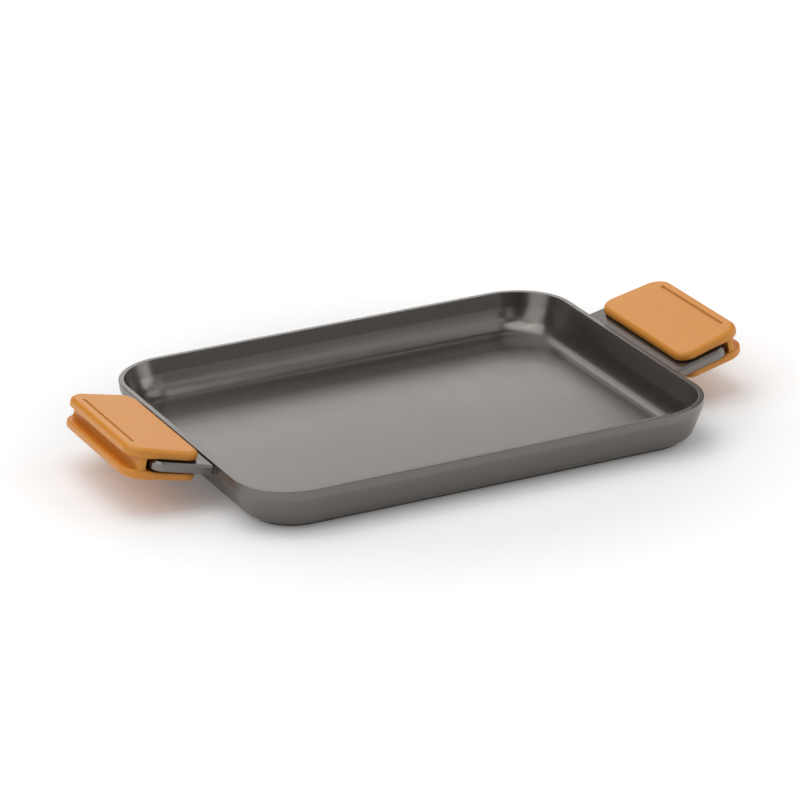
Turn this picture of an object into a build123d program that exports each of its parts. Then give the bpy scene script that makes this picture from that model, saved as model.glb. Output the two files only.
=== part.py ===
from build123d import *

import os
from math import cos, radians, sin, tan

# A cast-aluminium griddle pan with a pull-off silicone grip on each end.
#
# Millimetres, +Z up. The origin is the middle of the footprint, on the plane that the pan stands on,
# and +X runs along the long side, from the left grip to the right one.

# Rim and walls of the casting
RIM_LENGTH = 350.0
RIM_WIDTH = 280.0
RIM_CORNER = 44.0
PAN_HEIGHT = 31.0
RIM_LAND = 4.0
RIM_ROUNDING = 0.5
BAND_HEIGHT = 6.4
BAND_DRAFT = 5.0
WALL_DRAFT = 21.5
INNER_DRAFT = 20.0
INNER_FOOT_DRAFT = 32.0
INNER_BEND_HEIGHT = 17.5
INNER_BLEND = 36.0
HEEL_ROUNDING = 6.0

# Floor and foot of the casting
FLOOR_THICKNESS = 5.5
FLOOR_FILLET = 18.0
FOOT_HEIGHT = 3.5
FOOT_MARGIN = 15.0
FOOT_ROUNDING = 0.8

# Perforated base plate, flush with the foot
PLATE_MARGIN = 12.0
PLATE_THICKNESS = 0.8
PLATE_FIT = 0.1
HOLE_DIAMETER = 8.0
HOLE_PITCH = 45.0
HOLE_EDGE = 14.0

# Tabs of the casting, measured along the tilted tab from the outside of the rim
TAB_TILT = 13.5
TAB_DROP = 1.0
TAB_LENGTH = 43.5
TAB_ROOT_HALF = 66.5
TAB_END_HALF = 64.7
TAB_THICKNESS = 6.5
TAB_CORNER = 9.0
TAB_CHAMFER = 1.6
TAB_UNDER_ROUNDING = 1.0
TAB_SEAT = 4.0
ROOT_GROOVE_WIDTH = 0.8
ROOT_GROOVE_DEPTH = 1.5

# Silicone grips, measured along the tab in the same way
UPPER_FIT = 0.5
LOWER_FIT = 0.2
END_FIT = 3.0
UPPER_START = 7.5
UPPER_END = 59.8
UPPER_START_HALF = 63.0
UPPER_END_HALF = 58.8
UPPER_THICKNESS = 6.3
UPPER_RISE = 1.0
UPPER_START_CORNER = 11.0
UPPER_END_CORNER = 14.3
UPPER_TOP_EDGE = 3.6
UPPER_BOTTOM_EDGE = 1.5
LOWER_START = 9.8
LOWER_END = 60.0
LOWER_START_HALF = 63.3
LOWER_END_HALF = 59.7
LOWER_THICKNESS = 6.2
LOWER_FALL = 2.1
LOWER_START_CORNER = 6.7
LOWER_END_CORNER = 15.8
LOWER_TOP_EDGE = 1.6
LOWER_BOTTOM_EDGE = 2.4
WEB_THICKNESS = 5.0
WEB_HALF = 59.0
WEB_CORNER = 6.0
WEB_HEAD_FLARE = 1.0
WEB_FOOT_FLARE = 2.5
WEB_ROOT = 0.5
FLARE_SINK = 0.1
LINE_SETBACK = 7.8
LINE_LENGTH = 89.0
LINE_RADIUS = 1.3
LINE_DEPTH = 1.0

# How far off an edge may lie and still count as being at a place
SLACK = 0.01

TAB_TOP = PAN_HEIGHT - TAB_DROP
BAND_BOTTOM = PAN_HEIGHT - BAND_HEIGHT
BAND_STEP = BAND_HEIGHT * tan(radians(BAND_DRAFT))
TILT_X, TILT_Z = cos(radians(TAB_TILT)), sin(radians(TAB_TILT))
TAB_PLANE = Plane(
    origin=(RIM_LENGTH / 2, 0, TAB_TOP),
    x_dir=(TILT_X, 0, TILT_Z),
    z_dir=(-TILT_Z, 0, TILT_X),
)


def drafted_block(inset, top, bottom, draft):
    """A block with the rim's outline, drawn in by inset at its top and narrowing down by draft."""
    outline = RectangleRounded(
        RIM_LENGTH - 2 * inset, RIM_WIDTH - 2 * inset, RIM_CORNER - inset
    )
    return extrude(
        Plane.XY.offset(top) * outline, amount=top - bottom, dir=(0, 0, -1), taper=draft
    )


def rounded(solid, edges, radius):
    """The solid with these edges rounded."""
    return solid.fillet(radius, edges)


def level_edges(solid, height):
    """The edges of the solid that lie wholly at this height."""
    return solid.edges().filter_by_position(Axis.Z, height - SLACK, height + SLACK)


def trapezoid(start, end, start_half, end_half, start_corner, end_corner):
    """An outline that runs from start to end along the tab; a start corner of 0 stays sharp."""
    face = make_face(Polyline(
        (start, start_half), (start, -start_half), (end, -end_half), (end, end_half), close=True
    ))
    if start_corner:
        face = fillet(face.vertices().group_by(Axis.X)[0], start_corner)
    return fillet(face.vertices().group_by(Axis.X)[-1], end_corner)


def slab(outline, bottom, thickness):
    """The outline as a plate in the tab's plane, from bottom upwards; flat, before it is tilted."""
    return extrude(Plane.XY.offset(bottom) * outline, amount=thickness, dir=(0, 0, 1))


def make_tab():
    """One tab, still flat: chamfered above, rounded below, and seated in the rim band."""
    seat_half = TAB_ROOT_HALF + TAB_SEAT * (TAB_ROOT_HALF - TAB_END_HALF) / TAB_LENGTH
    outline = trapezoid(-TAB_SEAT, TAB_LENGTH, seat_half, TAB_END_HALF, 0, TAB_CORNER)
    tab = slab(outline, -TAB_THICKNESS, TAB_THICKNESS)
    tab = tab.chamfer(TAB_CHAMFER, None, level_edges(tab, 0).filter_by(
        lambda edge: edge.center().X > 0))
    return rounded(
        tab,
        level_edges(tab, -TAB_THICKNESS).filter_by(lambda edge: edge.center().X > 0),
        TAB_UNDER_ROUNDING,
    )


def make_root_groove():
    """The groove that parts the rim band from the tab, over its top and down both sides."""
    neck_half = TAB_ROOT_HALF - ROOT_GROOVE_DEPTH
    collar_half = TAB_ROOT_HALF + ROOT_GROOVE_DEPTH
    collar = Pos(ROOT_GROOVE_WIDTH / 2, 0, 0) * Box(
        ROOT_GROOVE_WIDTH, 2 * collar_half, 2 * TAB_THICKNESS
    )
    neck = Pos(ROOT_GROOVE_WIDTH / 2, 0, -ROOT_GROOVE_DEPTH - TAB_THICKNESS) * Box(
        2 * ROOT_GROOVE_WIDTH, 2 * neck_half, 2 * TAB_THICKNESS
    )
    return collar - neck


def both_ends(flat):
    """A piece drawn in the tab's plane, set in place on the right end and mirrored to the left."""
    right = TAB_PLANE * flat
    return right, mirror(right, about=Plane.YZ)


def plate_outline(fit=0.0):
    """The base plate seen from below, or its pocket at a fit."""
    inset = FOOT_MARGIN + PLATE_MARGIN - fit
    return RectangleRounded(
        RIM_LENGTH - 2 * inset, RIM_WIDTH - 2 * inset, RIM_CORNER - inset
    )


def hole_places():
    """A square grid of holes, as many as fit on the plate."""
    inset = FOOT_MARGIN + PLATE_MARGIN + HOLE_EDGE
    columns = 1 + int((RIM_LENGTH - 2 * inset) / HOLE_PITCH)
    rows = 1 + int((RIM_WIDTH - 2 * inset) / HOLE_PITCH)
    return GridLocations(HOLE_PITCH, HOLE_PITCH, columns, rows).locations


def make_hollow():
    """The space inside the casting: its walls lean further in towards the floor, in one soft bend."""
    inner_step = RIM_LAND + (PAN_HEIGHT - INNER_BEND_HEIGHT) * tan(radians(INNER_DRAFT))
    hollow = drafted_block(RIM_LAND, PAN_HEIGHT, INNER_BEND_HEIGHT, INNER_DRAFT)
    hollow += drafted_block(inner_step, INNER_BEND_HEIGHT, FLOOR_THICKNESS, INNER_FOOT_DRAFT)
    hollow = rounded(hollow, level_edges(hollow, INNER_BEND_HEIGHT), INNER_BLEND)
    return rounded(hollow, level_edges(hollow, FLOOR_THICKNESS), FLOOR_FILLET)


def make_pan_body():
    """The casting: rim, walls, floor, foot, both tabs, and the pips in the base plate's holes."""
    band = drafted_block(0, PAN_HEIGHT, BAND_BOTTOM, BAND_DRAFT)
    wall = drafted_block(BAND_STEP, BAND_BOTTOM, FOOT_HEIGHT, WALL_DRAFT)
    wall = rounded(wall, level_edges(wall, FOOT_HEIGHT), HEEL_ROUNDING)
    foot = drafted_block(FOOT_MARGIN, FOOT_HEIGHT, 0, BAND_DRAFT)
    foot = rounded(foot, level_edges(foot, 0), FOOT_ROUNDING)
    body = band + wall + foot - make_hollow()
    body = rounded(body, level_edges(body, PAN_HEIGHT), RIM_ROUNDING)

    for tab in both_ends(make_tab() - make_root_groove()):
        body += tab

    pocket = extrude(plate_outline(PLATE_FIT), amount=PLATE_THICKNESS)
    pips = [
        place * Cylinder(HOLE_DIAMETER / 2 - PLATE_FIT, PLATE_THICKNESS,
                         align=(Align.CENTER, Align.CENTER, Align.MIN))
        for place in hole_places()
    ]
    return body - (pocket - pips)


def make_induction_base():
    """The perforated plate in the underside, flush with the foot."""
    plate = extrude(plate_outline(), amount=PLATE_THICKNESS)
    holes = [
        place * Cylinder(HOLE_DIAMETER / 2, 3 * PLATE_THICKNESS) for place in hole_places()
    ]
    return plate - holes


def soften(pad, top_edge, bottom_edge):
    """The pad with its upper and lower edges rounded."""
    pad = rounded(pad, pad.faces().sort_by(Axis.Z)[-1].edges(), top_edge)
    return rounded(pad, pad.faces().sort_by(Axis.Z)[0].edges(), bottom_edge)


def make_line():
    """The rod with ball ends, along the grip, that cuts the groove across a pad's top."""
    straight = LINE_LENGTH - 2 * LINE_RADIUS
    rod = Rot(90, 0, 0) * Cylinder(LINE_RADIUS, straight)
    return rod + [Pos(0, y, 0) * Sphere(LINE_RADIUS) for y in (-straight / 2, straight / 2)]


def make_upper_pad():
    """The pad over the tab, still flat below, with a top that rises outwards and has a groove."""
    outline = trapezoid(UPPER_START, UPPER_END, UPPER_START_HALF, UPPER_END_HALF,
                        UPPER_START_CORNER, UPPER_END_CORNER)
    top = Pos(UPPER_START, 0, UPPER_FIT + UPPER_THICKNESS) * Rot(0, -UPPER_RISE, 0)
    pad = slab(outline, UPPER_FIT, 2 * UPPER_THICKNESS).split(Plane(top), keep=Keep.BOTTOM)
    groove = Pos(UPPER_END - UPPER_START - LINE_SETBACK, 0, LINE_RADIUS - LINE_DEPTH) * make_line()
    return soften(pad, UPPER_TOP_EDGE, UPPER_BOTTOM_EDGE) - top * groove


def slot_bottom(place):
    """The height of the lower pad's top at this place along the tab; it falls away outwards."""
    return -TAB_THICKNESS - LOWER_FIT - (place - LOWER_START) * tan(radians(LOWER_FALL))


def make_lower_pad():
    """The pad under the tab, turned down about its inner end."""
    outline = trapezoid(0, LOWER_END - LOWER_START, LOWER_START_HALF, LOWER_END_HALF,
                        LOWER_START_CORNER, LOWER_END_CORNER)
    pad = soften(slab(outline, -LOWER_THICKNESS, LOWER_THICKNESS),
                 LOWER_TOP_EDGE, LOWER_BOTTOM_EDGE)
    return Pos(LOWER_START, 0, slot_bottom(LOWER_START)) * Rot(0, LOWER_FALL, 0) * pad


def space_beside_web(face, away):
    """The space between the pads seen from the side, from the web's face to a place away from it."""
    space = make_face(Polyline(
        (face, slot_bottom(face) - FLARE_SINK), (face, UPPER_FIT + FLARE_SINK),
        (away, UPPER_FIT + FLARE_SINK), (away, slot_bottom(away) - FLARE_SINK), close=True
    ))
    for end, flare in ((0, WEB_FOOT_FLARE), (-1, WEB_HEAD_FLARE)):
        corners = space.vertices().filter_by_position(Axis.X, face - SLACK, face + SLACK)
        space = fillet(corners.sort_by(Axis.Y)[end], flare)
    return space


def make_web():
    """The web past the tab's end, flared where it meets the pads."""
    inner = TAB_LENGTH + END_FIT
    outer = inner + WEB_THICKNESS
    near, far = inner - WEB_FOOT_FLARE, outer + WEB_FOOT_FLARE
    bottom, top = slot_bottom(far) - WEB_ROOT, UPPER_FIT + WEB_ROOT
    block = slab(trapezoid(near, far, WEB_HALF, WEB_HALF, 0, WEB_CORNER), bottom, top - bottom)
    spaces = space_beside_web(inner, near - WEB_ROOT) + space_beside_web(outer, far + WEB_ROOT)
    return block - extrude(Plane.XZ * spaces, amount=WEB_HALF, both=True)


def make_grip():
    """One silicone grip, still flat: upper pad, lower pad and web."""
    return make_upper_pad() + make_lower_pad() + make_web()


def main():
    grip_right, grip_left = both_ends(make_grip())
    nodes = {
        "pan_body": make_pan_body(),
        "induction_base": make_induction_base(),
        "grip_right": grip_right,
        "grip_left": grip_left,
    }
    os.makedirs("parts", exist_ok=True)
    for name, shape in nodes.items():
        export_step(shape, f"parts/{name}.step")


main()
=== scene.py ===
"""A dark cast-aluminium griddle pan with orange silicone grips, on a white studio floor.

Metres, in the part's own frame: +X along the long side, +Z up, standing on the floor at z = 0.
Azimuths are in degrees clockwise from +Y seen from above, elevations in degrees above the floor.
Colours are linear. A pair of numbers is the lowest and the highest value of what varies.
"""

from math import cos, radians, sin

import bpy
from mathutils import Matrix, Vector

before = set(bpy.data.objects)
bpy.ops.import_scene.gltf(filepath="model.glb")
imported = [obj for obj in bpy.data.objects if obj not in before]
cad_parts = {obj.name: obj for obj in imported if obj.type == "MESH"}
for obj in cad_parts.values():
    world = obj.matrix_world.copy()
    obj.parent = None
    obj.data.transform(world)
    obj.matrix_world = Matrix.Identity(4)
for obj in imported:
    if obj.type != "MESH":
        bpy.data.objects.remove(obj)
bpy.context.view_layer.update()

# The camera stands this far from a point above the middle of the floor, looks at it from these angles,
# and is then moved by these lengths along its own right and up. Lens and sensor in millimetres
CAMERA_TARGET = Vector((0, 0, 0.017))
CAMERA_DISTANCE = 3.188
CAMERA_AZIMUTH = 204.68
CAMERA_ELEVATION = 21.47
CAMERA_ROLL = -1.83
CAMERA_RIGHT = -0.00628
CAMERA_UP = 0.00302
CAMERA_LENS = 206.2
CAMERA_SENSOR = 36.0
CAMERA_NEAR = 0.1
CAMERA_FAR = 50.0

WHITE = (1, 1, 1, 1)

# Noise lies between these two values nearly everywhere
NOISE_LOW = 0.3
NOISE_HIGH = 0.7

# The non-stick coat: its shade, gloss, sprayed grain and faint ripple
COAT_COLOR = (0.034, 0.030, 0.026)
COAT_GLOSS_COLOR = (1.0, 0.92, 0.86, 1)
COAT_IOR = 2.4
COAT_SHADE = (0.93, 1.07)
COAT_SHADE_GRAIN = 0.03
COAT_ROUGHNESS = (0.24, 0.27)
COAT_ROUGHNESS_GRAIN = 0.012
COAT_SPRAY_GRAIN = 0.0004
COAT_SPRAY_DEPTH = 0.0000015
COAT_RIPPLE_GRAIN = 0.01
COAT_RIPPLE_DEPTH = 0.00001

# The silicone: its mottling, gloss and skin, and how far the painted shade in its grooves and nooks
# reaches
SILICONE_COLOR = (0.82, 0.32, 0.04)
SILICONE_IOR = 1.5
SILICONE_SHADE = (0.985, 1.015)
SILICONE_SHADE_GRAIN = 0.012
SILICONE_ROUGHNESS = (0.38, 0.43)
SILICONE_ROUGHNESS_GRAIN = 0.004
SILICONE_SKIN_GRAIN = 0.0004
SILICONE_SKIN_DEPTH = 0.000005
SILICONE_PAINTED_SHADE_REACH = 0.003

# The brushed steel: noise in lines, which the first of the three scales draws out along X
STEEL_COLOR = (0.58, 0.57, 0.56)
STEEL_STRETCH = (0.02, 1.0, 1.0)
STEEL_SHADE = (0.9, 1.06)
STEEL_ROUGHNESS = (0.28, 0.42)
STEEL_LINE_GRAIN = 0.0005
STEEL_LINE_DEPTH = 0.00002

# The floor, and its glow, which rises from the near to the far value between two distances
FLOOR_SIDE = 400.0
FLOOR_COLOR = (0.94, 0.94, 0.94, 1)
FLOOR_ROUGHNESS = 0.9
NEAR_GLOW = 0.12
FAR_GLOW = 1.0
GLOW_RISES_FROM = 0.2
GLOW_RISES_TO = 0.75

# Area lamps: name, azimuth and elevation it shines from, width, height, and how bright it looks,
# where 1 is white
LAMPS = (
    ("back_low", 19.5, 16, 0.92, 0.24, 1.75),
    ("back_mid", 19.5, 23, 0.92, 0.24, 1.0),
    ("back_high", 10, 33, 0.56, 0.36, 1.0),
    ("back_upper", 26, 42, 0.70, 0.60, 0.85),
    ("top_back", -25, 60, 1.80, 1.00, 1.3),
    ("top", -90, 87, 1.40, 1.40, 1.4),
    ("left", -98, 36, 1.60, 1.80, 1.0),
    ("right", 90, 48, 0.90, 1.10, 0.8),
    ("right_low", 115, 18, 1.20, 0.60, 1.6),
    ("front_right", 135, 46, 1.30, 1.10, 0.6),
    ("front_low", 155, 24, 1.20, 0.40, 0.4),
    ("front_left", -172, 42, 0.60, 1.00, 0.5),
)
LAMP_DISTANCE = 2.0

# Watts per square metre of a lamp that looks white
WHITE_WATTS = 4.0

# The world's light, and the pale band that gloss and glass see above the floor's horizon. The band
# fades out between two heights, given as sines of the elevation
WORLD_STRENGTH = 0.04
BAND_GLOW = 0.3
BAND_FADES_FROM = 0.095
BAND_FADES_TO = 0.11


def direction(azimuth, elevation):
    """The unit vector towards this azimuth and elevation."""
    turn, rise = radians(azimuth), radians(elevation)
    return Vector((sin(turn) * cos(rise), cos(turn) * cos(rise), sin(rise)))


def make_camera():
    """The camera at the photograph's viewing angle, with no shift."""
    back = direction(CAMERA_AZIMUTH, CAMERA_ELEVATION)
    level = Vector((0, 0, 1)).cross(back).normalized()
    rise = back.cross(level)
    roll = radians(CAMERA_ROLL)
    right = level * cos(roll) + rise * sin(roll)
    up = rise * cos(roll) - level * sin(roll)
    data = bpy.data.cameras.new("camera")
    data.lens = CAMERA_LENS
    data.sensor_width = CAMERA_SENSOR
    data.clip_start = CAMERA_NEAR
    data.clip_end = CAMERA_FAR
    camera = bpy.data.objects.new("camera", data)
    bpy.context.scene.collection.objects.link(camera)
    place = CAMERA_TARGET + back * CAMERA_DISTANCE + right * CAMERA_RIGHT + up * CAMERA_UP
    turn = Matrix((right, up, back)).transposed().to_4x4()
    camera.matrix_world = Matrix.Translation(place) @ turn
    bpy.context.scene.camera = camera


class Nodes:
    """The node tree of a material or a world, with short ways to add and join nodes."""

    def __init__(self, owner):
        owner.use_nodes = True
        self.owner = owner
        self.tree = owner.node_tree

    def add(self, kind, **settings):
        """A new node with these settings; a setting whose name is a socket sets the socket."""
        node = self.tree.nodes.new(kind)
        for name, value in settings.items():
            if hasattr(node, name):
                setattr(node, name, value)
            else:
                node.inputs[name.replace("_", " ").title()].default_value = value
        return node

    def join(self, source, target):
        """A link from one socket to another."""
        self.tree.links.new(source, target)

    def place(self):
        """The point on the object, in metres."""
        return self.add("ShaderNodeTexCoord").outputs["Object"]

    def noise(self, place, grain, detail=4.0, roughness=0.55):
        """Noise whose features are about grain metres wide, from 0 to 1."""
        node = self.add("ShaderNodeTexNoise", scale=1 / grain, detail=detail, roughness=roughness)
        self.join(place, node.inputs["Vector"])
        return node.outputs["Fac"]

    def spread(self, value, low, high, start=NOISE_LOW, end=NOISE_HIGH):
        """A value from start to end, as a number from low to high."""
        node = self.add("ShaderNodeMapRange", from_min=start, from_max=end, to_min=low, to_max=high)
        self.join(value, node.inputs["Value"])
        return node.outputs["Result"]

    def math(self, operation, one, other):
        """Two values put together by this operation."""
        node = self.add("ShaderNodeMath", operation=operation)
        self.join(one, node.inputs[0])
        self.join(other, node.inputs[1])
        return node.outputs["Value"]

    def tint(self, value, color, low, high):
        """The colour, scaled by a number that runs from low to high with the value."""
        scale = self.spread(value, low, high)
        node = self.add("ShaderNodeVectorMath", operation="SCALE")
        node.inputs[0].default_value = color
        self.join(scale, node.inputs["Scale"])
        return node.outputs["Vector"]

    def bump(self, height, depth, under=None):
        """A bump of this depth in metres, on top of another bump's normal if one is given."""
        node = self.add("ShaderNodeBump", strength=1.0, distance=depth)
        self.join(height, node.inputs["Height"])
        if under is not None:
            self.join(under, node.inputs["Normal"])
        return node.outputs["Normal"]

    def rays(self):
        """Whether the camera sees the point, and whether gloss or glass does."""
        path = self.add("ShaderNodeLightPath")
        glossy, glass = path.outputs["Is Glossy Ray"], path.outputs["Is Transmission Ray"]
        return path.outputs["Is Camera Ray"], self.math("MAXIMUM", glossy, glass)


class Material(Nodes):
    """A new material, with short ways to set its surface shader."""

    def __init__(self, name):
        super().__init__(bpy.data.materials.new(name))
        self.surface = self.tree.nodes["Principled BSDF"]

    def set(self, name, value):
        """The same number or colour all over the surface."""
        self.surface.inputs[name].default_value = value

    def drive(self, name, source):
        """A socket of the shader that follows another node."""
        self.join(source, self.surface.inputs[name])


def make_coat():
    """The satin non-stick coat: near-black warm grey with a fine sprayed grain."""
    coat = Material("satin_coat")
    place = coat.place()
    coat.drive("Base Color", coat.tint(coat.noise(place, COAT_SHADE_GRAIN), COAT_COLOR, *COAT_SHADE))
    coat.drive("Roughness", coat.spread(coat.noise(place, COAT_ROUGHNESS_GRAIN), *COAT_ROUGHNESS))
    coat.set("IOR", COAT_IOR)
    coat.set("Specular Tint", COAT_GLOSS_COLOR)
    spray = coat.bump(coat.noise(place, COAT_SPRAY_GRAIN, detail=2.0), COAT_SPRAY_DEPTH)
    ripple = coat.noise(place, COAT_RIPPLE_GRAIN, detail=1.0)
    coat.drive("Normal", coat.bump(ripple, COAT_RIPPLE_DEPTH, under=spray))
    return coat.owner


def make_silicone():
    """Matte moulded silicone with a faint grain, slight mottling and painted shade darkening its grooves
    and nooks.
    """
    silicone = Material("matte_silicone")
    place = silicone.place()
    mottled = silicone.tint(silicone.noise(place, SILICONE_SHADE_GRAIN), SILICONE_COLOR, *SILICONE_SHADE)
    # Painted shade: the colour is darkened wherever other surfaces lie within a few millimetres, in
    # grooves, nooks and the slot round the tab
    painted_nook_shade = silicone.add("ShaderNodeAmbientOcclusion", distance=SILICONE_PAINTED_SHADE_REACH)
    silicone.join(mottled, painted_nook_shade.inputs["Color"])
    silicone.drive("Base Color", painted_nook_shade.outputs["Color"])
    rough = silicone.noise(place, SILICONE_ROUGHNESS_GRAIN)
    silicone.drive("Roughness", silicone.spread(rough, *SILICONE_ROUGHNESS))
    silicone.set("IOR", SILICONE_IOR)
    skin = silicone.noise(place, SILICONE_SKIN_GRAIN, detail=2.0)
    silicone.drive("Normal", silicone.bump(skin, SILICONE_SKIN_DEPTH))
    return silicone.owner


def make_steel():
    """Brushed stainless steel, with its lines along X."""
    steel = Material("brushed_steel")
    stretch = steel.add("ShaderNodeMapping", scale=STEEL_STRETCH)
    steel.join(steel.place(), stretch.inputs["Vector"])
    lines = steel.noise(stretch.outputs["Vector"], STEEL_LINE_GRAIN, detail=3.0)
    steel.drive("Base Color", steel.tint(lines, STEEL_COLOR, *STEEL_SHADE))
    steel.drive("Roughness", steel.spread(lines, *STEEL_ROUGHNESS))
    steel.set("Metallic", 1.0)
    steel.drive("Normal", steel.bump(lines, STEEL_LINE_DEPTH))
    return steel.owner


def finish_node(name, material):
    """Gives a CAD node its material."""
    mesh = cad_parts[name].data
    mesh.materials.clear()
    mesh.materials.append(material)


def make_floor():
    """A plain white floor that takes the shadow, with a glow that grows with distance."""
    half = FLOOR_SIDE / 2
    corners = [(-half, -half, 0), (half, -half, 0), (half, half, 0), (-half, half, 0)]
    mesh = bpy.data.meshes.new("floor")
    mesh.from_pydata(corners, [], [(0, 1, 2, 3)])
    floor = bpy.data.objects.new("floor", mesh)
    bpy.context.scene.collection.objects.link(floor)
    paint = Material("studio_floor")
    paint.set("Base Color", FLOOR_COLOR)
    paint.set("Roughness", FLOOR_ROUGHNESS)
    paint.set("Specular IOR Level", 0.0)
    paint.set("Emission Color", WHITE)
    seen = paint.math("MAXIMUM", *paint.rays())
    reach = paint.add("ShaderNodeVectorMath", operation="LENGTH")
    paint.join(paint.place(), reach.inputs[0])
    glow = paint.spread(reach.outputs["Value"], NEAR_GLOW, FAR_GLOW, GLOW_RISES_FROM, GLOW_RISES_TO)
    paint.drive("Emission Strength", paint.math("MULTIPLY", seen, glow))
    mesh.materials.append(paint.owner)


def make_lamps():
    """The area lamps, each aimed at the pan."""
    for name, azimuth, elevation, width, height, brightness in LAMPS:
        data = bpy.data.lights.new(name, "AREA")
        data.shape = "RECTANGLE"
        data.size = width
        data.size_y = height
        data.energy = WHITE_WATTS * width * height * brightness
        lamp = bpy.data.objects.new(name, data)
        away = direction(azimuth, elevation)
        lamp.location = away * LAMP_DISTANCE
        lamp.rotation_euler = away.to_track_quat("Z", "Y").to_euler()
        bpy.context.scene.collection.objects.link(lamp)


def make_world():
    """A dim studio round the lamps: white to the camera, and a pale low band to gloss and glass."""
    world = Nodes(bpy.data.worlds.new("studio"))
    bpy.context.scene.world = world.owner
    background = world.tree.nodes["Background"]
    background.inputs["Color"].default_value = WHITE
    height = world.add("ShaderNodeSeparateXYZ")
    world.join(world.add("ShaderNodeTexCoord").outputs["Generated"], height.inputs["Vector"])
    band = world.spread(height.outputs["Z"], BAND_GLOW, 0, BAND_FADES_FROM, BAND_FADES_TO)
    camera, glossy = world.rays()
    seen = world.math("MAXIMUM", camera, world.math("MULTIPLY", glossy, band))
    world.join(world.spread(seen, WORLD_STRENGTH, 1, 0, 1), background.inputs["Strength"])


make_camera()
coat, silicone, steel = make_coat(), make_silicone(), make_steel()
finish_node("pan_body", coat)
finish_node("induction_base", steel)
finish_node("grip_right", silicone)
finish_node("grip_left", silicone)
make_floor()
make_lamps()
make_world()
bpy.context.scene.view_settings.view_transform = "Standard"
